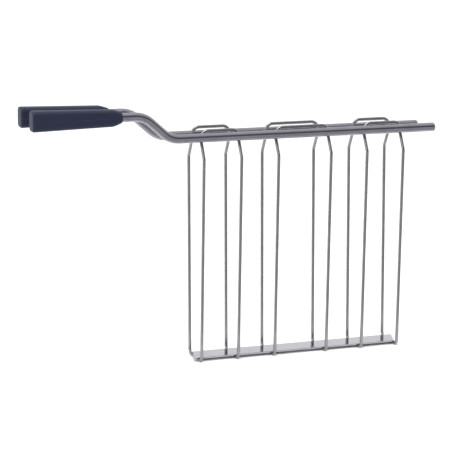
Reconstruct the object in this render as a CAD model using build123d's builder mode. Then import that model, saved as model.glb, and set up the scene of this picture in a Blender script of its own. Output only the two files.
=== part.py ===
from build123d import *
import os

# A toaster sandwich cage, in millimetres. +Z is up and the floor is at Z = 0.
# The long axis is X, with the grips towards -X. The front side is towards -Y.

# ---- wires of the cage ----
wire_d = 1.8                 # spring wire diameter
bend_r = 2.8                 # centreline radius of the bends in the legs
loop_r = 4.0                 # and of the two corners of each loop
ring_legs_x = {              # where the two pairs of legs of each wire ring stand
    "a": (-21.5, 0.5),
    "b": (22.5, 54.1),
    "c": (76.1, 98.5),
}
bottom_half = 10.1           # centreline of the legs from the middle, at the floor
widest_half = 12.9           # and at the kink below the rods
kink_below_rod = 11.8        # height of the rod axis above the kink
loop_top_z = 130.75          # centreline of the wire loops above the rods

# ---- rods and grips ----
rod_d = 5.0
rod_z = {"front": 127.4, "rear": 126.0}     # the rear arm sits a little lower
grip_z = {"front": 140.85, "rear": 139.75}  # height of the grip axis
weld_sink = 0.12             # how far a wire is pressed into a rod
grip_half = 12.4             # grip axis from the middle
rod_tail_x = -111.0          # hidden end of the rod inside the grip
step_top_x = -56.0           # corners of the step in the arm
step_foot_x = -40.5
step_r = 14.0
rod_tip_x = {"front": 118.5, "rear": 117.9}
rod_tip_round = 1.0

grip_end_x = -118.5
grip_shoulder_x = -74.0      # where the nose of the grip begins
grip_nose_x = -68.5
grip_end_size = (8.6, 11.3, 2.4)        # width, height, corner radius
grip_shoulder_size = (8.0, 9.1, 2.4)
grip_nose_size = (6.4, 6.4, 2.6)
grip_end_round = 1.0
grip_fit = 0.02              # radial gap between the rod and its hole in the grip
grip_stop = 0.3              # space between the rod's end and the bottom of that hole

# ---- bottom strip: both ends are cut at a slant ----
strip_half = 7.1
strip_t = 0.9
strip_sink = 0.4             # the wires are welded deep into the strip
strip_left_x = {"front": -25.2, "rear": -21.1}
strip_right_x = {"front": 98.4, "rear": 103.0}
strip_corner = 0.8

# ---- where the legs flex: the end of a sprung leg turns about a point a third of the way up ----
flex_share = 1 / 3
flex_gap = 0.1               # half the gap between the foot of a wire and the leg above it

wire_r = wire_d / 2
rod_r = rod_d / 2
bar_z = wire_r
strip_bottom = wire_d - strip_sink
rod_half = 10.8
wire_at_rod = rod_half - rod_r - wire_r + weld_sink
inner_kink_drop = 2.0        # the wire is upright from this far below the rod axis


def on_leg(side, height):
    """A point of a leg's centreline, as a distance from the middle and a height."""
    share = (height - bar_z) / (rod_z[side] - kink_below_rod - bar_z)
    return bottom_half + (widest_half - bottom_half) * share, height


flex_z = bar_z + flex_share * (sum(rod_z.values()) / 2 - bar_z)

os.makedirs("parts", exist_ok=True)

# ---- strip the toast stands on ----
strip_outline = [
    (strip_left_x["front"], -strip_half),
    (strip_right_x["front"], -strip_half),
    (strip_right_x["rear"], strip_half),
    (strip_left_x["rear"], strip_half),
]
with BuildPart() as base_strip:
    with BuildSketch(Plane.XY.offset(strip_bottom)) as strip_sketch:
        with BuildLine():
            Polyline(*strip_outline, close=True)
        make_face()
        fillet(strip_sketch.vertices(), strip_corner)
    extrude(amount=strip_t)
base_strip.part.label = "base_strip"
export_step(base_strip.part, "parts/base_strip.step")

# ---- feet: the U of each wire under the strip, up to where its legs flex ----
leg_xs = [x for pair in ring_legs_x.values() for x in pair]
front_y, front_z = on_leg("front", flex_z - flex_gap)
rear_y, rear_z = on_leg("rear", flex_z - flex_gap)
for number, x in enumerate(leg_xs, start=1):
    foot_points = [
        (x, -front_y, front_z),
        (x, -bottom_half, bar_z),
        (x, bottom_half, bar_z),
        (x, rear_y, rear_z),
    ]
    with BuildPart() as foot:
        with BuildLine() as foot_path:
            FilletPolyline(*foot_points, radius=bend_r)
        with BuildSketch(Plane(origin=foot_points[0], z_dir=foot_path.line % 0)):
            Circle(wire_r)
        sweep(path=foot_path.line)
    foot.part.label = f"wire_foot_{number}"
    export_step(foot.part, f"parts/wire_foot_{number}.step")

for side, sign in (("front", -1), ("rear", 1)):
    top = rod_z[side]
    grip_axis_z = grip_z[side]

    # ---- one bent wire per ring: leg, loop over the rod, leg ----
    for ring, (x_left, x_right) in ring_legs_x.items():
        start_y, start_z = on_leg(side, flex_z + flex_gap)
        upright_z = loop_top_z - loop_r - 0.3
        profile = [
            (start_y, start_z),
            (widest_half, top - kink_below_rod),
            (wire_at_rod, top - inner_kink_drop),
            (wire_at_rod, upright_z),
        ]
        up = [(x_left, sign * y, z) for y, z in profile]
        down = [(x_right, sign * y, z) for y, z in reversed(profile)]
        over = [(x, sign * wire_at_rod, loop_top_z) for x in (x_left, x_right)]
        with BuildPart() as side_wire:
            with BuildLine() as wire_path:
                FilletPolyline(*up, radius=bend_r)
                FilletPolyline(up[-1], *over, down[0], radius=loop_r)
                FilletPolyline(*down, radius=bend_r)
            with BuildSketch(Plane(origin=up[0], z_dir=Vector(*up[1]) - Vector(*up[0]))):
                Circle(wire_r)
            sweep(path=wire_path.wires()[0])
        side_wire.part.label = f"{side}_wire_{ring}"
        export_step(side_wire.part, f"parts/{side}_wire_{ring}.step")

    # ---- rod: grip tail, step down, straight run over the cage ----
    rod_points = [
        (rod_tail_x, sign * grip_half, grip_axis_z),
        (step_top_x, sign * grip_half, grip_axis_z),
        (step_foot_x, sign * rod_half, top),
        (rod_tip_x[side], sign * rod_half, top),
    ]
    with BuildPart() as rod:
        with BuildLine() as rod_path:
            FilletPolyline(*rod_points, radius=step_r)
        with BuildSketch(Plane(origin=rod_points[0], z_dir=(1, 0, 0))):
            Circle(rod_r)
        sweep(path=rod_path.line)
        fillet(rod.faces().sort_by(Axis.X)[-1].edges(), rod_tip_round)
    rod.part.label = f"{side}_rod"
    export_step(rod.part, f"parts/{side}_rod.step")

    # ---- grip: a tapered block with a short nose, bored for the rod ----
    sections = (
        (grip_end_x, grip_end_size),
        (grip_shoulder_x, grip_shoulder_size),
        (grip_nose_x, grip_nose_size),
    )
    bore_x = rod_tail_x - grip_stop
    with BuildPart() as grip:
        for (x_from, size_from), (x_to, size_to) in zip(sections, sections[1:]):
            for x, (width, height, corner) in ((x_from, size_from), (x_to, size_to)):
                with BuildSketch(Plane(origin=(x, sign * grip_half, grip_axis_z), x_dir=(0, 1, 0), z_dir=(1, 0, 0))):
                    RectangleRounded(width, height, corner)
            loft()
        fillet(grip.faces().sort_by(Axis.X)[0].edges(), grip_end_round)
        with BuildSketch(Plane(origin=(bore_x, sign * grip_half, grip_axis_z), z_dir=(1, 0, 0))):
            Circle(rod_r + grip_fit)
        extrude(amount=grip_nose_x - bore_x + 1, mode=Mode.SUBTRACT)
    grip.part.label = f"{side}_grip"
    export_step(grip.part, f"parts/{side}_grip.step")
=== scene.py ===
"""Toaster sandwich cage: three wire rings on a bottom strip, hung from two rods with moulded squeeze grips."""
import math

import bmesh
import bpy
from bpy.props import FloatProperty, FloatVectorProperty, IntProperty, PointerProperty
from mathutils import Matrix, Vector


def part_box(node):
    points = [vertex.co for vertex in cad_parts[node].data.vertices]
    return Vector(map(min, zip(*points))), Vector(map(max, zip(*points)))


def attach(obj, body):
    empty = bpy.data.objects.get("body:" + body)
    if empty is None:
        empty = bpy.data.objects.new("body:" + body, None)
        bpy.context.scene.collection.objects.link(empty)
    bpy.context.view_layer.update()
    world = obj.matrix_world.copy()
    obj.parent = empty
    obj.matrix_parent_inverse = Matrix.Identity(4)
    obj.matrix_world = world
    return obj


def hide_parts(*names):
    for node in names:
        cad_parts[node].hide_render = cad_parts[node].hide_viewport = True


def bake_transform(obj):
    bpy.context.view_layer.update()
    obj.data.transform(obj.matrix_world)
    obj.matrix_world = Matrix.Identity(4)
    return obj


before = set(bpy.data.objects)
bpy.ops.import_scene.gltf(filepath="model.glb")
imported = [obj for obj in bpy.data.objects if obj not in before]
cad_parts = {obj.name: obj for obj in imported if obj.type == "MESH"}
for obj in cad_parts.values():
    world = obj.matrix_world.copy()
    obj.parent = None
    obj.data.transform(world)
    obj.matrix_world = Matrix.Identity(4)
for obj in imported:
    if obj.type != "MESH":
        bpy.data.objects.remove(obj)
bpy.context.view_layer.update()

bl_info = {
    "name": "Toaster Sandwich Cage",
    "version": (1, 0, 0),
    "blender": (4, 5, 0),
    "location": "3D View > Sidebar > Sandwich Cage",
    "description": "Builds a spring-wire toaster cage with rods, bottom strip and moulded grips",
    "category": "Add Mesh",
}

MM = 0.001
SIDES = {"front": -1.0, "rear": 1.0}
RINGS = ("a", "b", "c")
ALONG = "along"            # vector attribute: distance along a bar, then the place on its section
BEND = "bend"              # number attribute: centreline radius of the bend at a corner
HEAT = "heat"              # number attribute: 1 at a weld, 0 away from it

# sockets that share their names with others of the same node
COLOUR_A, COLOUR_B, COLOUR_OUT = 6, 7, 2       # of a Mix node set to colours
NUMBER_MIN, NUMBER_MAX, NUMBER_OUT = 2, 3, 1   # of a Random Value node set to numbers

FLOOR_WIDTH = 80.0
TENT_RADIUS = 2.0
TENT_WIDTH = 9.0
TENT_STEPS = 32
LAMP_AIM = (0.0, 0.0, 0.08)
HAIR = 0.01 * MM            # keeps rounded corners from meeting
SMALLEST_CORNER = 0.5 * MM
NOSE_RIM = 0.5 * MM
HOLE_GAP = 0.05 * MM
HOLE_DEPTHS = (0.0, 0.15 * MM, 0.5 * MM, 1.5 * MM)
SENSOR_WIDTH_MM = 36.0


def between(first, last, share):
    """The value that share of the way from first to last."""
    return first + (last - first) * share


def quarter_turns(steps):
    """Angles from 0 to a quarter turn."""
    return [math.pi / 2 * step / steps for step in range(steps + 1)]


# ---------------------------------------------------------------- settings

def length(name, description, default_mm, low_mm=0.01, high_mm=500.0):
    """A distance property, given in millimetres."""
    return FloatProperty(
        name=name, description=description, default=default_mm * MM,
        min=low_mm * MM, max=high_mm * MM, subtype="DISTANCE", unit="LENGTH", precision=5,
    )


def colour(name, description, default):
    """A linear colour property."""
    return FloatVectorProperty(
        name=name, description=description, default=default, min=0.0, max=1.0, size=3, subtype="COLOR",
    )


class CageSizes(bpy.types.PropertyGroup):
    """Sizes of the cage, in metres. Places come from the frame."""

    wire_diameter: length("Wire diameter", "Diameter of the spring wire", 1.8)
    wire_bend: length("Wire bend radius", "Centreline radius of the bends in a leg", 2.8)
    loop_bend: length("Loop bend radius", "Centreline radius of the two corners of a loop", 4.0)
    foot_half: length("Foot half width", "Leg centreline from the middle, at the floor", 10.1)
    widest_half: length("Widest half width", "Leg centreline from the middle, at the kink", 12.9)
    kink_drop: length("Kink below rod", "Height of the rod axis above the outer kink", 11.8)
    inner_drop: length("Inner kink below rod", "Height of the rod axis above the inner kink", 2.0)
    flex_low: length("Flex start", "Height at which a leg begins to flex", 26.0)
    flex_high: length("Flex end", "Height at which a leg has taken on its full lean", 98.0)
    rod_diameter: length("Rod diameter", "Diameter of the two rods", 5.0)
    step_foot: length("Step foot", "How far along the frame the rod's step ends", 40.5)
    step_top: length("Step top", "How far along the frame the rod's step begins", 56.0)
    step_bend: length("Step bend radius", "Centreline radius of the two bends in the step", 14.0)
    rod_tip_round: length("Rod tip rounding", "Rounding of the rod's free end", 1.0)
    strip_edge: length("Strip edge rounding", "Rounding of the strip's long edges", 0.22)
    strip_corner: length("Strip corner radius", "Radius of the strip's four corners in plan", 0.8)
    strip_left_slant: length("Left slant", "How much further the strip's left end reaches at the front", 4.1)
    strip_right_slant: length("Right slant", "How much further the strip's right end reaches at the rear", 4.6)
    dimple_depth: length("Weld dimple depth", "Depth of the electrode marks on the strip", 0.09)
    dimple_radius: length("Weld dimple radius", "Radius of the electrode marks on the strip", 1.5)
    grip_shoulder: length("Grip shoulder", "How far along the frame the grip's nose begins", 74.0)
    grip_end_width: length("Grip end width", "Width of the grip at its far end", 8.6)
    grip_shoulder_width: length("Grip shoulder width", "Width of the grip at its shoulder", 8.0)
    grip_shoulder_height: length("Grip shoulder height", "Height of the grip at its shoulder", 9.1)
    grip_nose: length("Grip nose", "Width and height of the grip at the end of its nose", 6.4)
    grip_corner: length("Grip corner radius", "Radius along the grip's long edges", 2.4)
    grip_end_round: length("Grip end rounding", "Rounding around the grip's far end", 1.0)
    grip_ridge: length("Grip ridge", "Height of the moulding line along each side", 0.22)
    bead_size: length("Weld bead size", "Half the height of a weld bead", 1.25)


class CageFinishes(bpy.types.PropertyGroup):
    """Colours and roughnesses of the cage."""

    rod_steel: colour("Rod steel", "Colour of the rods", (0.305, 0.293, 0.328))
    wire_steel: colour("Wire steel", "Colour of the wires", (0.300, 0.295, 0.315))
    strip_steel: colour("Strip steel", "Colour of the polished strip", (0.43, 0.42, 0.46))
    heat_tint: colour("Heat tint", "Colour that welding leaves on the steel", (0.12, 0.105, 0.102))
    plastic: colour("Grip plastic", "Colour of the moulded grips", (0.0075, 0.0110, 0.0320))
    # painted highlight: the lighter colour laid along the grips' rounded edges
    plastic_edge_highlight: colour("Worn plastic", "Colour of the grips where they are rubbed", (0.045, 0.051, 0.080))
    floor: colour("Floor", "Colour of the studio floor", (0.93, 0.93, 0.93))


class StudioSettings(bpy.types.PropertyGroup):
    """Camera and lights."""

    azimuth: FloatProperty(
        name="Azimuth", description="Camera direction about the vertical; 0 looks along +Y",
        default=math.radians(-20.41), subtype="ANGLE", unit="ROTATION",
    )
    elevation: FloatProperty(
        name="Elevation", description="How far the camera looks down",
        default=math.radians(11.47), subtype="ANGLE", unit="ROTATION",
    )
    roll: FloatProperty(
        name="Roll", description="Camera roll", default=math.radians(0.42), subtype="ANGLE", unit="ROTATION",
    )
    camera_place: FloatVectorProperty(
        name="Camera place", description="Where the camera stands", default=(-0.3772, -1.0149, 0.2906),
        size=3, subtype="TRANSLATION", unit="LENGTH",
    )
    lens: FloatProperty(
        name="Lens", description="Focal length in millimetres on a 36 mm sensor", default=152.0, min=20.0, max=400.0,
    )
    key_power: FloatProperty(name="Key power", description="Power of the overhead softbox", default=9.0, unit="POWER")
    side_power: FloatProperty(name="Side power", description="Power of the left softbox", default=5.0, unit="POWER")
    surround: FloatProperty(name="Surround", description="Brightness of the pale surround", default=1.08, min=0.0)
    seed: IntProperty(name="Seed", description="Seed for everything random", default=7)


# ---------------------------------------------------------------- node trees

class Value:
    """A socket in a node tree. Arithmetic on it adds Math nodes."""

    def __init__(self, tree, socket):
        self.tree = tree
        self.socket = socket

    def out(self, name):
        """Another output of the same node."""
        return Value(self.tree, self.socket.node.outputs[name])

    def calc(self, operation, *others):
        return self.tree.add("ShaderNodeMath", {"operation": operation}, [self, *others])

    def __add__(self, other):
        return self.calc("ADD", other)

    def __radd__(self, other):
        return self.calc("ADD", other)

    def __mul__(self, other):
        return self.calc("MULTIPLY", other)

    def __rmul__(self, other):
        return self.calc("MULTIPLY", other)

    def __sub__(self, other):
        return self.calc("SUBTRACT", other)

    def __rsub__(self, other):
        return self.tree.add("ShaderNodeMath", {"operation": "SUBTRACT"}, [other, self])

    def clamped(self):
        return self.tree.add("ShaderNodeClamp", {}, [self, 0.0, 1.0])

    def between(self, low, high, to_low=0.0, to_high=1.0):
        """Maps low..high smoothly onto to_low..to_high."""
        settings = {"interpolation_type": "SMOOTHSTEP"}
        return self.tree.add("ShaderNodeMapRange", settings, [self, low, high, to_low, to_high])


class Tree:
    """A node tree under construction."""

    def __init__(self, nodes):
        self.tree = nodes

    def add(self, kind, settings=None, inputs=None, output=0):
        """Adds a node: its settings first, then the values or links of its sockets, by place or by name."""
        node = self.tree.nodes.new(kind)
        for name, setting in (settings or {}).items():
            if name == "captures":
                for item_kind, item_name in setting:
                    node.capture_items.new(item_kind, item_name)
            else:
                setattr(node, name, setting)
        pairs = inputs.items() if isinstance(inputs, dict) else enumerate(inputs or [])
        for key, given in pairs:
            socket = node.inputs[key]
            if isinstance(given, Value):
                self.tree.links.new(given.socket, socket)
            elif given is not None:
                socket.default_value = given
        return Value(self, node.outputs[output]) if node.outputs else node

    def mix_colour(self, share, first, second):
        """Mixes two colours."""
        sockets = {"Factor": share, COLOUR_A: first, COLOUR_B: second}
        return self.add("ShaderNodeMix", {"data_type": "RGBA"}, sockets, output=COLOUR_OUT)

    def noise(self, where, scale, detail=2.0, roughness=0.5):
        """Noise between 0 and 1."""
        inputs = {"Vector": where, "Scale": scale, "Detail": detail, "Roughness": roughness}
        return self.add("ShaderNodeTexNoise", {}, inputs)

    def stretched(self, where, scale):
        """Coordinates multiplied axis by axis."""
        return self.add("ShaderNodeVectorMath", {"operation": "MULTIPLY"}, [where, scale])


def rgba(shade, gain=1.0):
    return (shade[0] * gain, shade[1] * gain, shade[2] * gain, 1.0)


# ---------------------------------------------------------------- materials

def new_material(name):
    """An empty material and its tree."""
    material = bpy.data.materials.new(name)
    material.use_nodes = True
    material.node_tree.nodes.clear()
    tree = Tree(material.node_tree)
    return material, tree


def finish_material(tree, constants, base, roughness, height, relief, distance):
    """Adds the Principled shader: constants on its own sockets, links only for what varies."""
    normal = tree.add("ShaderNodeBump", {}, {"Strength": relief, "Distance": distance, "Height": height})
    inputs = dict(constants)
    inputs.update({"Base Color": base, "Roughness": roughness, "Normal": normal})
    shader = tree.add("ShaderNodeBsdfPrincipled", {}, inputs)
    tree.add("ShaderNodeOutputMaterial", {}, {"Surface": shader})


def drawn_steel(name, shade, heat_shade, low_rough, high_rough):
    """Bright drawn bar: fine lines along it, cloudy handling marks and heat tint round the welds."""
    material, tree = new_material(name)
    along = tree.add("ShaderNodeAttribute", {"attribute_name": ALONG}, output="Vector")
    place = tree.add("ShaderNodeTexCoord", {}, output="Object")
    heat = tree.add("ShaderNodeAttribute", {"attribute_name": HEAT}, output="Fac")
    lines = tree.noise(tree.stretched(along, (60.0, 5200.0, 5200.0)), 1.0, 3.0, 0.6)
    fine = tree.noise(tree.stretched(along, (260.0, 14000.0, 14000.0)), 1.0, 2.0, 0.5)
    smear = tree.noise(place, 95.0, 4.0, 0.6)
    pits = tree.noise(place, 2600.0, 2.0, 0.5).between(0.68, 0.80)
    cloud = smear.between(0.35, 0.72)
    tint = tree.mix_colour(cloud * 0.5 + lines * 0.35, rgba(shade), rgba(shade, 0.74))
    tint = tree.mix_colour((pits * 0.35).clamped(), tint, rgba(shade, 0.35))
    ragged = (heat * (0.55 + 0.9 * smear)).clamped()
    tint = tree.mix_colour((ragged * 0.55).clamped(), tint, rgba(heat_shade))
    rough = low_rough + (high_rough - low_rough) * (0.55 * cloud + 0.45 * lines) + 0.16 * ragged + 0.1 * pits
    height = lines * 0.6 + fine * 0.4 - pits * 0.6
    constants = {"Metallic": 1.0, "IOR": 2.4}
    finish_material(tree, constants, tint, rough.clamped(), height, 0.12, 0.00003)
    return material


def polished_strip(name, shade, heat_shade):
    """Rolled bright strip: mirror-like, with long faint scratches and dull rings round the weld marks."""
    material, tree = new_material(name)
    place = tree.add("ShaderNodeTexCoord", {}, output="Object")
    heat = tree.add("ShaderNodeAttribute", {"attribute_name": HEAT}, output="Fac")
    roll = tree.noise(tree.stretched(place, (18.0, 1500.0, 1500.0)), 1.0, 3.0, 0.55)
    scratch = tree.noise(tree.stretched(place, (110.0, 7000.0, 7000.0)), 1.0, 2.0, 0.6).between(0.62, 0.70)
    smudge = tree.noise(place, 140.0, 4.0, 0.65).between(0.42, 0.75)
    tint = tree.mix_colour(roll * 0.4 + smudge * 0.4, rgba(shade), rgba(shade, 0.82))
    ragged = (heat * (0.5 + smudge)).clamped()
    tint = tree.mix_colour((ragged * 0.6).clamped(), tint, rgba(heat_shade))
    rough = 0.07 + 0.05 * roll + 0.12 * smudge + 0.14 * scratch + 0.20 * ragged
    height = roll * 0.5 - scratch * 0.5
    finish_material(tree, {"Metallic": 1.0, "IOR": 2.4}, tint, rough.clamped(), height, 0.10, 0.00003)
    return material


def weld_metal(name, shade):
    """Dull, slightly oxidised weld."""
    material, tree = new_material(name)
    place = tree.add("ShaderNodeTexCoord", {}, output="Object")
    grain = tree.noise(place, 1900.0, 3.0, 0.6)
    stain = tree.noise(place, 520.0, 3.0, 0.6).between(0.35, 0.7)
    tint = tree.mix_colour(stain, rgba(shade, 0.85), rgba(shade, 0.45))
    rough = 0.34 + 0.18 * grain + 0.12 * stain
    finish_material(tree, {"Metallic": 1.0, "IOR": 2.2}, tint, rough, grain, 0.35, 0.00006)
    return material


def moulded_plastic(name, shade, edge_highlight_shade):
    """Dark navy moulded plastic: fine spark-eroded texture, and a painted highlight: a lighter colour along the
    rounded edges, where the roughness is lower too.
    """
    material, tree = new_material(name)
    place = tree.add("ShaderNodeTexCoord", {}, output="Object")
    shape = tree.add("ShaderNodeNewGeometry", {}, output="Pointiness")
    edge = shape.between(0.505, 0.56)
    grain = tree.noise(place, 5200.0, 2.0, 0.55)
    coarse = tree.noise(place, 1500.0, 3.0, 0.6)
    flow = tree.noise(tree.stretched(place, (22.0, 160.0, 160.0)), 1.0, 3.0, 0.5)
    # painted highlight: convex edges, found by pointiness, are tinted towards a lighter colour, with lower roughness
    # there
    edge_highlight_mask = (edge * (0.35 + tree.noise(place, 260.0, 3.0, 0.6))).clamped()
    tint = tree.mix_colour(flow * 0.5, rgba(shade), rgba(shade, 1.5))
    tint = tree.mix_colour((edge_highlight_mask * 0.5).clamped(), tint, rgba(edge_highlight_shade))
    rough = 0.44 + 0.10 * flow + 0.06 * coarse - 0.14 * edge_highlight_mask
    height = grain * 0.65 + coarse * 0.35
    constants = {"Metallic": 0.0, "IOR": 1.46, "Specular IOR Level": 0.32}
    finish_material(tree, constants, tint, rough.clamped(), height, 0.16, 0.00004)
    return material


def studio_floor(name, shade):
    """Matt pale sweep."""
    material, tree = new_material(name)
    place = tree.add("ShaderNodeTexCoord", {}, output="Object")
    fibre = tree.noise(place, 900.0, 3.0, 0.6)
    tint = tree.mix_colour(fibre * 0.3, rgba(shade), rgba(shade, 0.985))
    finish_material(tree, {"Specular IOR Level": 0.0}, tint, 0.9 + 0.05 * fibre, fibre, 0.02, 0.0001)
    return material


def tent_cloth(name):
    """A glowing cloth: a greyer floor, then a soft dark band from the horizon to well up the front."""
    material, tree = new_material(name)
    place = tree.add("ShaderNodeTexCoord", {}, output="Object")
    parts = tree.add("ShaderNodeSeparateXYZ", {}, [place])
    height = parts.out("Z").calc("ARCTAN2", parts.out("Y") * -1.0)
    above_floor = height.between(math.radians(1.3), math.radians(2.0))
    rising = height.between(math.radians(2.0), math.radians(13.0))
    falling = height.between(math.radians(40.0), math.radians(70.0), 1.0, 0.0)
    light = tree.mix_colour(above_floor, (0.70, 0.70, 0.72, 1.0), (0.95, 0.95, 0.98, 1.0))
    glow = tree.mix_colour(rising * falling, light, (0.20, 0.20, 0.22, 1.0))
    inputs = {
        "Base Color": (0.0, 0.0, 0.0, 1.0), "Specular IOR Level": 0.0,
        "Emission Color": glow, "Emission Strength": 1.0,
    }
    shader = tree.add("ShaderNodeBsdfPrincipled", {}, inputs)
    tree.add("ShaderNodeOutputMaterial", {}, {"Surface": shader})
    return material


def finish_named(name, build, *arguments):
    """The material of that name, made the first time it is asked for."""
    return bpy.data.materials.get(name) or build(name, *arguments)


def rod_finish():
    made = bpy.context.scene.cage_finishes
    return finish_named("bright_rod_steel", drawn_steel, made.rod_steel, made.heat_tint, 0.13, 0.26)


def wire_finish():
    made = bpy.context.scene.cage_finishes
    return finish_named("drawn_wire_steel", drawn_steel, made.wire_steel, made.heat_tint, 0.16, 0.32)


def strip_finish():
    made = bpy.context.scene.cage_finishes
    return finish_named("polished_strip_steel", polished_strip, made.strip_steel, made.heat_tint)


def weld_finish():
    return finish_named("weld_metal", weld_metal, bpy.context.scene.cage_finishes.wire_steel)


def grip_finish():
    made = bpy.context.scene.cage_finishes
    # the second colour is the painted edge highlight
    return finish_named("moulded_grip_plastic", moulded_plastic, made.plastic, made.plastic_edge_highlight)


# ---------------------------------------------------------------- geometry nodes

def node_group(name, sockets):
    """An empty geometry node group: the tree and its inputs by name."""
    group = bpy.data.node_groups.new(name, "GeometryNodeTree")
    group.interface.new_socket("Geometry", in_out="INPUT", socket_type="NodeSocketGeometry")
    for label, kind in sockets:
        group.interface.new_socket(label, in_out="INPUT", socket_type=kind)
    group.interface.new_socket("Geometry", in_out="OUTPUT", socket_type="NodeSocketGeometry")
    tree = Tree(group)
    return tree, tree.add("NodeGroupInput")


def bent_bar_group():
    """Round bar bent along straight runs: fillets the corners, sweeps a circle and stores its own coordinates."""
    name = "bent_round_bar"
    if name in bpy.data.node_groups:
        return bpy.data.node_groups[name]
    tree, given = node_group(name, (
        ("Diameter", "NodeSocketFloat"), ("Bend Steps", "NodeSocketInt"),
        ("Ring Spacing", "NodeSocketFloat"), ("Sides", "NodeSocketInt"), ("Finish", "NodeSocketMaterial"),
    ))
    runs = tree.add("GeometryNodeMeshToCurve", {}, [given])
    radius = tree.add("GeometryNodeInputNamedAttribute", {"data_type": "FLOAT"}, {"Name": BEND})
    bends = {"Curve": runs, "Count": given.out("Bend Steps"), "Radius": radius, "Limit Radius": True}
    path = tree.add("GeometryNodeFilletCurve", {"mode": "POLY"}, bends)
    spacing = {"Curve": path, "Length": given.out("Ring Spacing")}
    path = tree.add("GeometryNodeResampleCurve", {"mode": "LENGTH"}, spacing)
    distance = tree.add("GeometryNodeSplineParameter", {}, output="Length")
    kept = tree.add("GeometryNodeCaptureAttribute", {"captures": [("FLOAT", "Distance")]}, [path, distance])
    section = {"Resolution": given.out("Sides"), "Radius": given.out("Diameter") * 0.5}
    circle = tree.add("GeometryNodeCurvePrimitiveCircle", {"mode": "RADIUS"}, section)
    spot = tree.add("GeometryNodeInputPosition")
    rim = tree.add("GeometryNodeCaptureAttribute", {"captures": [("VECTOR", "Spot")]}, [circle, spot])
    sweep = {"Curve": kept, "Profile Curve": rim, "Fill Caps": True}
    bar = tree.add("GeometryNodeCurveToMesh", {}, sweep)
    parts = tree.add("ShaderNodeSeparateXYZ", {}, [rim.out("Spot")])
    own = tree.add("ShaderNodeCombineXYZ", {}, [kept.out("Distance"), parts.out("X"), parts.out("Y")])
    store = {"Geometry": bar, "Name": ALONG, "Value": own}
    bar = tree.add("GeometryNodeStoreNamedAttribute", {"data_type": "FLOAT_VECTOR", "domain": "POINT"}, store)
    bar = tree.add("GeometryNodeSetShadeSmooth", {}, [bar])
    bar = tree.add("GeometryNodeRealizeInstances", {}, [bar])
    bar = tree.add("GeometryNodeSetMaterial", {}, {"Geometry": bar, "Material": given.out("Finish")})
    tree.add("NodeGroupOutput", {}, [bar])
    return bpy.data.node_groups[name]


def weld_bead_group():
    """A lumpy bead on every point, each turned and sized a little differently."""
    name = "weld_beads"
    if name in bpy.data.node_groups:
        return bpy.data.node_groups[name]
    tree, given = node_group(name, (
        ("Bead Size", "NodeSocketVector"), ("Lumpiness", "NodeSocketFloat"), ("Seed", "NodeSocketInt"),
        ("Finish", "NodeSocketMaterial"),
    ))
    ball = tree.add("GeometryNodeMeshIcoSphere", {}, {"Radius": 1.0, "Subdivisions": 4})
    spread = {"Min": (-0.10, -0.06, -0.12), "Max": (0.10, 0.06, 0.12), "Seed": given.out("Seed")}
    turn = tree.add("FunctionNodeRandomValue", {"data_type": "FLOAT_VECTOR"}, spread)
    range_of_size = {NUMBER_MIN: 0.88, NUMBER_MAX: 1.12, "Seed": given.out("Seed")}
    grow = tree.add("FunctionNodeRandomValue", {"data_type": "FLOAT"}, range_of_size, output=NUMBER_OUT)
    size = tree.add("ShaderNodeVectorMath", {"operation": "SCALE"}, {0: given.out("Bead Size"), "Scale": grow})
    place = {"Points": given, "Instance": ball, "Rotation": turn, "Scale": size}
    beads = tree.add("GeometryNodeInstanceOnPoints", {}, place)
    beads = tree.add("GeometryNodeRealizeInstances", {}, [beads])
    spot = tree.add("GeometryNodeInputPosition")
    lumps = tree.noise(spot, 900.0, 2.0, 0.5) - 0.5
    outward = tree.add("GeometryNodeInputNormal")
    push = {0: outward, "Scale": lumps * given.out("Lumpiness")}
    offset = tree.add("ShaderNodeVectorMath", {"operation": "SCALE"}, push)
    beads = tree.add("GeometryNodeSetPosition", {}, {"Geometry": beads, "Offset": offset})
    beads = tree.add("GeometryNodeSetShadeSmooth", {}, [beads])
    beads = tree.add("GeometryNodeSetMaterial", {}, {"Geometry": beads, "Material": given.out("Finish")})
    tree.add("NodeGroupOutput", {}, [beads])
    return bpy.data.node_groups[name]


def grown(name, points, group, values, bends=()):
    """Runs a node group on a few points and returns a plain mesh object. Bend radii make the points a chain."""
    seed_mesh = bpy.data.meshes.new(name + "_guide")
    edges = [(i, i + 1) for i in range(len(points) - 1)] if bends else []
    seed_mesh.from_pydata([tuple(p) for p in points], edges, [])
    if bends:
        seed_mesh.attributes.new(BEND, "FLOAT", "POINT").data.foreach_set("value", bends)
    guide = bpy.data.objects.new(name + "_guide", seed_mesh)
    bpy.context.scene.collection.objects.link(guide)
    modifier = guide.modifiers.new("grow", "NODES")
    modifier.node_group = group
    sockets = {item.name: item.identifier for item in group.interface.items_tree if item.in_out == "INPUT"}
    for label, value in values.items():
        modifier[sockets[label]] = value
    bpy.context.view_layer.update()
    seen = guide.evaluated_get(bpy.context.evaluated_depsgraph_get())
    mesh = bpy.data.meshes.new_from_object(seen)
    mesh.name = name
    guide.modifiers.remove(modifier)
    bpy.data.objects.remove(guide)
    bpy.data.meshes.remove(seed_mesh)
    if not mesh.polygons:
        raise RuntimeError(f"{name}: the node group made no faces")
    piece = bpy.data.objects.new(name, mesh)
    bpy.context.scene.collection.objects.link(piece)
    return piece


def plain_piece(name, work, finish):
    """Turns a finished bmesh into a smooth-shaded object with that finish."""
    bmesh.ops.remove_doubles(work, verts=work.verts, dist=1e-7)
    bmesh.ops.recalc_face_normals(work, faces=work.faces)
    mesh = bpy.data.meshes.new(name)
    work.to_mesh(mesh)
    work.free()
    mesh.materials.append(finish)
    mesh.shade_smooth()
    piece = bpy.data.objects.new(name, mesh)
    bpy.context.scene.collection.objects.link(piece)
    return piece


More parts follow.
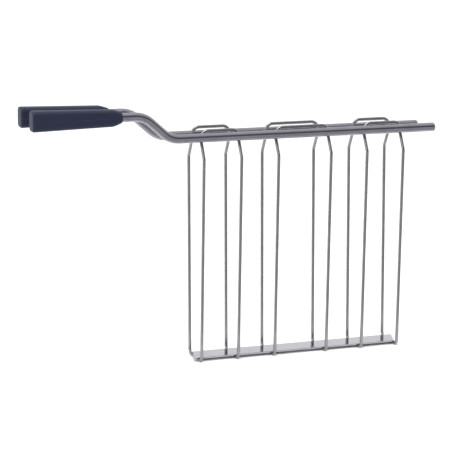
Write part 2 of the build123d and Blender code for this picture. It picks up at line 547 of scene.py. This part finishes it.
def mark_heat(piece, spots, reach):
    """Stores how near each vertex is to a weld."""
    layer = piece.data.attributes.new(HEAT, "FLOAT", "POINT")
    for vertex, item in zip(piece.data.vertices, layer.data):
        nearest = min((vertex.co - spot).length for spot in spots)
        share = max(0.0, 1.0 - nearest / reach)
        item.value = share * share * (3.0 - 2.0 * share)


# ---------------------------------------------------------------- places, read from the frame

def rod_lines(side):
    """Heights and offsets of a rod's two straight runs, and its ends."""
    low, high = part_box(f"{side}_rod")
    radius = bpy.context.scene.cage_sizes.rod_diameter / 2
    near, far = (high.y - radius, low.y + radius) if side == "front" else (low.y + radius, high.y - radius)
    return {
        "run_y": near, "grip_y": far, "run_z": low.z + radius, "grip_z": high.z - radius,
        "tail_x": low.x, "tip_x": high.x,
    }


def leg_places(side, ring):
    """The two legs' places along the frame, and the height of the loop."""
    low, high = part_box(f"{side}_wire_{ring}")
    radius = bpy.context.scene.cage_sizes.wire_diameter / 2
    return low.x + radius, high.x - radius, high.z - radius


def all_leg_xs(side):
    return [x for ring in RINGS for x in leg_places(side, ring)[:2]]


def weld_places(side):
    """Where each leg is welded to the rod."""
    line = rod_lines(side)
    radius = bpy.context.scene.cage_sizes.rod_diameter / 2
    return [Vector((x, line["run_y"] - SIDES[side] * radius, line["run_z"])) for x in all_leg_xs(side)]


# ---------------------------------------------------------------- operators

class CAGE_OT_rods(bpy.types.Operator):
    """Sweep the two rods, with the step down from the grips to the cage"""

    bl_idname = "cage.rods"
    bl_label = "Rods"

    def execute(self, context):
        sizes = context.scene.cage_sizes
        for side in SIDES:
            line = rod_lines(side)
            points = [
                (line["tail_x"], line["grip_y"], line["grip_z"]),
                (-sizes.step_top, line["grip_y"], line["grip_z"]),
                (-sizes.step_foot, line["run_y"], line["run_z"]),
                (line["tip_x"], line["run_y"], line["run_z"]),
            ]
            values = {
                "Diameter": sizes.rod_diameter, "Bend Steps": 24, "Ring Spacing": 1.0 * MM,
                "Sides": 48, "Finish": rod_finish(),
            }
            piece = grown(f"{side}_rod_bar", points, bent_bar_group(), values, [sizes.step_bend] * 4)
            self.round_ends(piece, sizes.rod_tip_round)
            mark_heat(piece, weld_places(side), 3.2 * MM)
            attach(piece, f"{side}_side")
            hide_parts(f"{side}_rod")
        return {"FINISHED"}

    @staticmethod
    def round_ends(piece, radius):
        """Rounds the rim of each flat end."""
        work = bmesh.new()
        work.from_mesh(piece.data)
        rims = [edge for face in work.faces if len(face.verts) > 8 for edge in face.edges]
        bmesh.ops.bevel(work, geom=rims, offset=radius, segments=6, profile=0.5, affect="EDGES", clamp_overlap=True)
        work.to_mesh(piece.data)
        work.free()
        piece.data.shade_smooth()


class CAGE_OT_wires(bpy.types.Operator):
    """Bend the wire rings, each in a front and a rear half that meet under the strip"""

    bl_idname = "cage.wires"
    bl_label = "Wire rings"

    def execute(self, context):
        sizes = context.scene.cage_sizes
        radius = sizes.wire_diameter / 2
        feet = {ring: (2 * i + 1, 2 * i + 2) for i, ring in enumerate(RINGS)}
        for side, sign in SIDES.items():
            line = rod_lines(side)
            inner = abs(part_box(f"{side}_wire_a")[1 if side == "front" else 0].y) + radius
            for ring in RINGS:
                left, right, loop_z = leg_places(side, ring)
                profile = [
                    (0.0, radius),
                    (sizes.foot_half, radius),
                    (sizes.widest_half, line["run_z"] - sizes.kink_drop),
                    (inner, line["run_z"] - sizes.inner_drop),
                    (inner, loop_z),
                ]
                points = [(left, sign * y, z) for y, z in profile]
                points += [(right, sign * y, z) for y, z in reversed(profile)]
                bends = [sizes.wire_bend] * 4 + [sizes.loop_bend] * 2 + [sizes.wire_bend] * 4
                values = {
                    "Diameter": sizes.wire_diameter, "Bend Steps": 16, "Ring Spacing": 0.5 * MM,
                    "Sides": 20, "Finish": wire_finish(),
                }
                piece = grown(f"{side}_ring_{ring}", points, bent_bar_group(), values, bends)
                mark_heat(piece, weld_places(side), 2.8 * MM)
                lean = (sizes.widest_half - sizes.foot_half) / (profile[2][1] - radius)
                start, end = (
                    (0.0, sign * (sizes.foot_half + lean * z), z) for z in (sizes.flex_low, sizes.flex_high)
                )
                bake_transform(piece)
                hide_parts(f"{side}_wire_{ring}", *(f"wire_foot_{n}" for n in feet[ring]))
        return {"FINISHED"}


class CAGE_OT_welds(bpy.types.Operator):
    """Set a weld bead at every crossing of a wire with a rod or the strip"""

    bl_idname = "cage.welds"
    bl_label = "Weld beads"

    def execute(self, context):
        sizes = context.scene.cage_sizes
        bead = sizes.bead_size
        seed = context.scene.cage_studio.seed
        for number, side in enumerate(SIDES):
            values = {
                "Bead Size": (bead * 1.2, bead * 0.42, bead), "Lumpiness": 0.25 * MM,
                "Seed": seed + number, "Finish": weld_finish(),
            }
            piece = grown(f"{side}_rod_welds", weld_places(side), weld_bead_group(), values)
            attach(piece, f"{side}_side")
        low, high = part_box("base_strip")
        spots = [Vector((x, y, low.z)) for x in all_leg_xs("front") for y in (low.y * 0.55, high.y * 0.55)]
        values = {
            "Bead Size": (bead * 1.15, bead * 0.9, bead * 0.3), "Lumpiness": 0.2 * MM,
            "Seed": seed + 5, "Finish": weld_finish(),
        }
        piece = grown("strip_welds", spots, weld_bead_group(), values)
        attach(piece, "base")
        return {"FINISHED"}


class CAGE_OT_strip(bpy.types.Operator):
    """Press the bottom strip, with rounded edges and weld dimples"""

    bl_idname = "cage.strip"
    bl_label = "Bottom strip"

    def execute(self, context):
        sizes = context.scene.cage_sizes
        low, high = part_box("base_strip")
        spots = [Vector((x, y, high.z)) for x in all_leg_xs("front") for y in (low.y * 0.55, high.y * 0.55)]
        half = high.y
        left_slope, right_slope = (slant / (2 * half) for slant in (sizes.strip_left_slant, sizes.strip_right_slant))
        work = bmesh.new()
        columns, rows = 340, 36
        top, bottom = [], []
        for j in range(rows + 1):
            y = -half * math.cos(math.pi * j / rows)
            left = self.end_place(y, low.x, half, left_slope, sizes.strip_corner)
            right = -self.end_place(-y, -high.x, half, right_slope, sizes.strip_corner)
            upper, lower = [], []
            for i in range(columns + 1):
                x = left + (right - left) * i / columns
                drop = self.edge_drop(min(half - abs(y), x - left, right - x), sizes.strip_edge)
                dip = sum(self.dimple(Vector((x, y, high.z)), spot, sizes) for spot in spots)
                upper.append(work.verts.new((x, y, high.z - dip - drop)))
                lower.append(work.verts.new((x, y, low.z + drop)))
            top.append(upper)
            bottom.append(lower)
        for j in range(rows):
            for i in range(columns):
                for sheet in (top, bottom):
                    work.faces.new((sheet[j][i], sheet[j][i + 1], sheet[j + 1][i + 1], sheet[j + 1][i]))
            for i in (0, columns):
                work.faces.new((top[j][i], top[j + 1][i], bottom[j + 1][i], bottom[j][i]))
        for j in (0, rows):
            for i in range(columns):
                work.faces.new((top[j][i], top[j][i + 1], bottom[j][i + 1], bottom[j][i]))
        piece = plain_piece("strip_plate", work, strip_finish())
        mark_heat(piece, spots, 2.6 * MM)
        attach(piece, "base")
        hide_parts("base_strip")
        return {"FINISHED"}

    @staticmethod
    def end_place(y, outermost, half, slope, radius):
        """Where a slanted end lies at that distance from the middle, between its two rounded corners."""
        stretch = math.sqrt(1.0 + slope ** 2)
        corner = outermost - radius * (stretch + slope - 1.0)
        for sign in (-1, 1):
            middle_y = sign * (half - radius)
            middle_x = corner + slope * (middle_y + half) + radius * stretch
            if sign * (y - middle_y - radius * slope / stretch) > 0.0:
                return middle_x - math.sqrt(max(0.0, radius ** 2 - (y - middle_y) ** 2))
        return corner + slope * (y + half)

    @staticmethod
    def edge_drop(away, radius):
        """Rounds the rim of the top and bottom faces."""
        return radius - math.sqrt(max(0.0, radius ** 2 - max(0.0, radius - away) ** 2))

    @staticmethod
    def dimple(spot, weld, sizes):
        reach = (spot - weld).length / sizes.dimple_radius
        if reach >= 1.0:
            return 0.0
        return sizes.dimple_depth * (1.0 - reach ** 2) ** 2


class CAGE_OT_grips(bpy.types.Operator):
    """Mould the two tapered grips, each with a short nose around its rod"""

    bl_idname = "cage.grips"
    bl_label = "Grips"

    def execute(self, context):
        for side in SIDES:
            low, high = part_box(f"{side}_grip")
            line = rod_lines(side)
            sizes = context.scene.cage_sizes
            ridge = sizes.grip_ridge
            rings = self.sections(sizes, low, high)
            work = bmesh.new()
            loops = []
            for x, width, height, corner in rings:
                outline = self.outline(width, height, corner, ridge if x < -sizes.grip_shoulder else 0.0)
                ring = [(x, line["grip_y"] + y, line["grip_z"] + z) for y, z in outline]
                loops.append([work.verts.new(point) for point in ring])
            for first, second in zip(loops, loops[1:]):
                for i in range(len(first)):
                    j = (i + 1) % len(first)
                    work.faces.new((first[i], second[i], second[j], first[j]))
            for loop in (loops[0], loops[-1]):
                middle = sum((v.co for v in loop), Vector()) / len(loop)
                centre = work.verts.new(middle)
                for i in range(len(loop)):
                    work.faces.new((centre, loop[i], loop[(i + 1) % len(loop)]))
            piece = plain_piece(f"{side}_grip_moulding", work, grip_finish())
            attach(piece, f"{side}_side")
            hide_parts(f"{side}_grip")
        return {"FINISHED"}

    @staticmethod
    def sections(sizes, low, high):
        """Sections from the far end to the nose, and back a little way into the rod's hole."""
        end_width, end_height = sizes.grip_end_width, high.z - low.z
        far, shoulder, nose = low.x, -sizes.grip_shoulder, high.x
        rings = []
        for turn in quarter_turns(12):
            inset = sizes.grip_end_round * (1.0 - math.sin(turn))
            x = far + sizes.grip_end_round * (1.0 - math.cos(turn))
            corner = max(SMALLEST_CORNER, sizes.grip_corner - inset)
            rings.append((x, end_width - 2 * inset, end_height - 2 * inset, corner))
        start = far + sizes.grip_end_round
        for step in range(1, 61):
            share = step / 60
            width = between(end_width, sizes.grip_shoulder_width, share)
            height = between(end_height, sizes.grip_shoulder_height, share)
            rings.append((between(start, shoulder, share), width, height, sizes.grip_corner))
        round_nose = sizes.grip_nose / 2 - 5 * HAIR
        for step in range(1, 25):
            share = step / 24
            ease = share ** 1.25
            width = between(sizes.grip_shoulder_width, sizes.grip_nose, ease)
            height = between(sizes.grip_shoulder_height, sizes.grip_nose, ease)
            corner = between(sizes.grip_corner, round_nose, share)
            rings.append((between(shoulder, nose - NOSE_RIM, share), width, height, corner))
        for turn in quarter_turns(8)[1:]:
            size = sizes.grip_nose - 2 * NOSE_RIM * (1.0 - math.cos(turn))
            rings.append((nose - NOSE_RIM * (1.0 - math.sin(turn)), size, size, size / 2 - 5 * HAIR))
        hole = sizes.rod_diameter + 2 * HOLE_GAP
        for depth in HOLE_DEPTHS:
            rings.append((nose - depth, hole, hole, hole / 2 - HAIR))
        return rings

    @staticmethod
    def outline(width, height, corner, ridge):
        """A rounded rectangle as points (y, z): the same number of points for every section."""
        corner = min(corner, width / 2 - HAIR, height / 2 - HAIR)
        arcs = []
        for ky, kz, start in ((1, 1, 0.0), (-1, 1, 90.0), (-1, -1, 180.0), (1, -1, 270.0)):
            middle_y, middle_z = ky * (width / 2 - corner), kz * (height / 2 - corner)
            turns = [math.radians(start) + turn for turn in quarter_turns(12)]
            arcs.append([(middle_y + corner * math.cos(t), middle_z + corner * math.sin(t)) for t in turns])
        points = []
        for n, arc in enumerate(arcs):
            points += arc
            (y0, z0), (y1, z1) = arc[-1], arcs[(n + 1) % 4][0]
            for k in range(1, 12):
                y = between(y0, y1, k / 12)
                raised = ridge if k == 6 and n in (1, 3) else 0.0
                points.append((y + math.copysign(raised, y), between(z0, z1, k / 12)))
        return points


class CAGE_OT_stage(bpy.types.Operator):
    """Set up the pale floor, the reflection tent, the soft lights and the camera"""

    bl_idname = "cage.stage"
    bl_label = "Stage"

    def execute(self, context):
        scene = context.scene
        studio = scene.cage_studio
        reach = FLOOR_WIDTH / 2
        corners = [(-reach, -reach, 0.0), (reach, -reach, 0.0), (reach, reach, 0.0), (-reach, reach, 0.0)]
        cloth = finish_named("pale_floor", studio_floor, scene.cage_finishes.floor)
        floor = self.sheet("studio_floor", corners, [(0, 1, 2, 3)], cloth)
        self.reflection_tent("front_tent")
        self.softbox("overhead_softbox", studio.key_power, 0.9, (-0.35, -0.25, 1.3))
        self.softbox("left_softbox", studio.side_power, 0.7, (-1.3, -0.7, 0.7))
        self.surround(scene, studio.surround)
        self.camera(scene, studio)
        scene.view_settings.view_transform = "Standard"
        scene.view_settings.look = "None"
        return {"FINISHED"}

    @staticmethod
    def sheet(name, points, faces, finish):
        mesh = bpy.data.meshes.new(name)
        mesh.from_pydata(points, [], faces)
        mesh.materials.append(finish)
        thing = bpy.data.objects.new(name, mesh)
        bpy.context.scene.collection.objects.link(thing)
        return thing

    def reflection_tent(self, name):
        """A curved screen in front of the object that only reflections see: dark across its middle."""
        lift = 1.0 * MM
        outline = [(-0.05, lift), (-TENT_RADIUS, lift)]
        for turn in quarter_turns(TENT_STEPS):
            outline.append((-TENT_RADIUS * math.cos(turn), lift + TENT_RADIUS * math.sin(turn)))
        points = [(x, y, z) for y, z in outline for x in (-TENT_WIDTH / 2, TENT_WIDTH / 2)]
        faces = [(2 * i, 2 * i + 1, 2 * i + 3, 2 * i + 2) for i in range(len(outline) - 1)]
        thing = self.sheet(name, points, faces, finish_named("tent_cloth", tent_cloth))
        for kind in ("camera", "diffuse", "shadow", "transmission"):
            setattr(thing, f"visible_{kind}", False)

    @staticmethod
    def softbox(name, power, size, place):
        lamp = bpy.data.lights.new(name, "AREA")
        lamp.shape = "SQUARE"
        lamp.size = size
        lamp.energy = power
        thing = bpy.data.objects.new(name, lamp)
        thing.location = place
        thing.rotation_mode = "QUATERNION"
        thing.rotation_quaternion = (Vector(LAMP_AIM) - Vector(place)).to_track_quat("-Z", "Y")
        bpy.context.scene.collection.objects.link(thing)

    @staticmethod
    def surround(scene, brightness):
        world = bpy.data.worlds.new("pale_surround")
        world.use_nodes = True
        world.node_tree.nodes.clear()
        tree = Tree(world.node_tree)
        glow = tree.add("ShaderNodeBackground", {}, {"Color": (1.0, 1.0, 1.0, 1.0), "Strength": brightness})
        tree.add("ShaderNodeOutputWorld", {}, {"Surface": glow})
        scene.world = world

    @staticmethod
    def camera(scene, studio):
        lens = bpy.data.cameras.new("camera")
        lens.sensor_width = SENSOR_WIDTH_MM
        lens.lens = studio.lens
        lens.clip_start, lens.clip_end = 0.05, 50.0
        thing = bpy.data.objects.new("camera", lens)
        scene.collection.objects.link(thing)
        a, e, r = studio.azimuth, studio.elevation, studio.roll
        back = Vector((math.sin(a) * math.cos(e), -math.cos(a) * math.cos(e), math.sin(e)))
        right = Vector((math.cos(a), math.sin(a), 0.0))
        up = back.cross(right)
        turned = right * math.cos(r) + up * math.sin(r)
        upward = back.cross(turned)
        turn = Matrix((turned, upward, back)).transposed()
        thing.matrix_world = Matrix.Translation(studio.camera_place) @ turn.to_4x4()
        scene.camera = thing


class CAGE_PT_panel(bpy.types.Panel):
    """Sizes, finishes and build steps of the sandwich cage"""

    bl_idname = "CAGE_PT_panel"
    bl_label = "Sandwich Cage"
    bl_space_type = "VIEW_3D"
    bl_region_type = "UI"
    bl_category = "Sandwich Cage"

    def draw(self, context):
        for step in STEPS:
            self.layout.operator(step.bl_idname)
        for group in (context.scene.cage_sizes, context.scene.cage_finishes, context.scene.cage_studio):
            box = self.layout.box()
            for name in group.bl_rna.properties.keys():
                if name not in ("rna_type", "name"):
                    box.prop(group, name)


STEPS = (CAGE_OT_rods, CAGE_OT_wires, CAGE_OT_welds, CAGE_OT_strip, CAGE_OT_grips, CAGE_OT_stage)
GROUPS = {"cage_sizes": CageSizes, "cage_finishes": CageFinishes, "cage_studio": StudioSettings}


def register():
    for item in (*GROUPS.values(), *STEPS, CAGE_PT_panel):
        bpy.utils.register_class(item)
    for name, group in GROUPS.items():
        setattr(bpy.types.Scene, name, PointerProperty(type=group))


def unregister():
    for name in GROUPS:
        delattr(bpy.types.Scene, name)
    for item in reversed((*GROUPS.values(), *STEPS, CAGE_PT_panel)):
        bpy.utils.unregister_class(item)


def main():
    register()
    bpy.ops.cage.rods()
    bpy.ops.cage.wires()
    bpy.ops.cage.welds()
    bpy.ops.cage.strip()
    bpy.ops.cage.grips()
    bpy.ops.cage.stage()


if __name__ == "__main__":
    main()
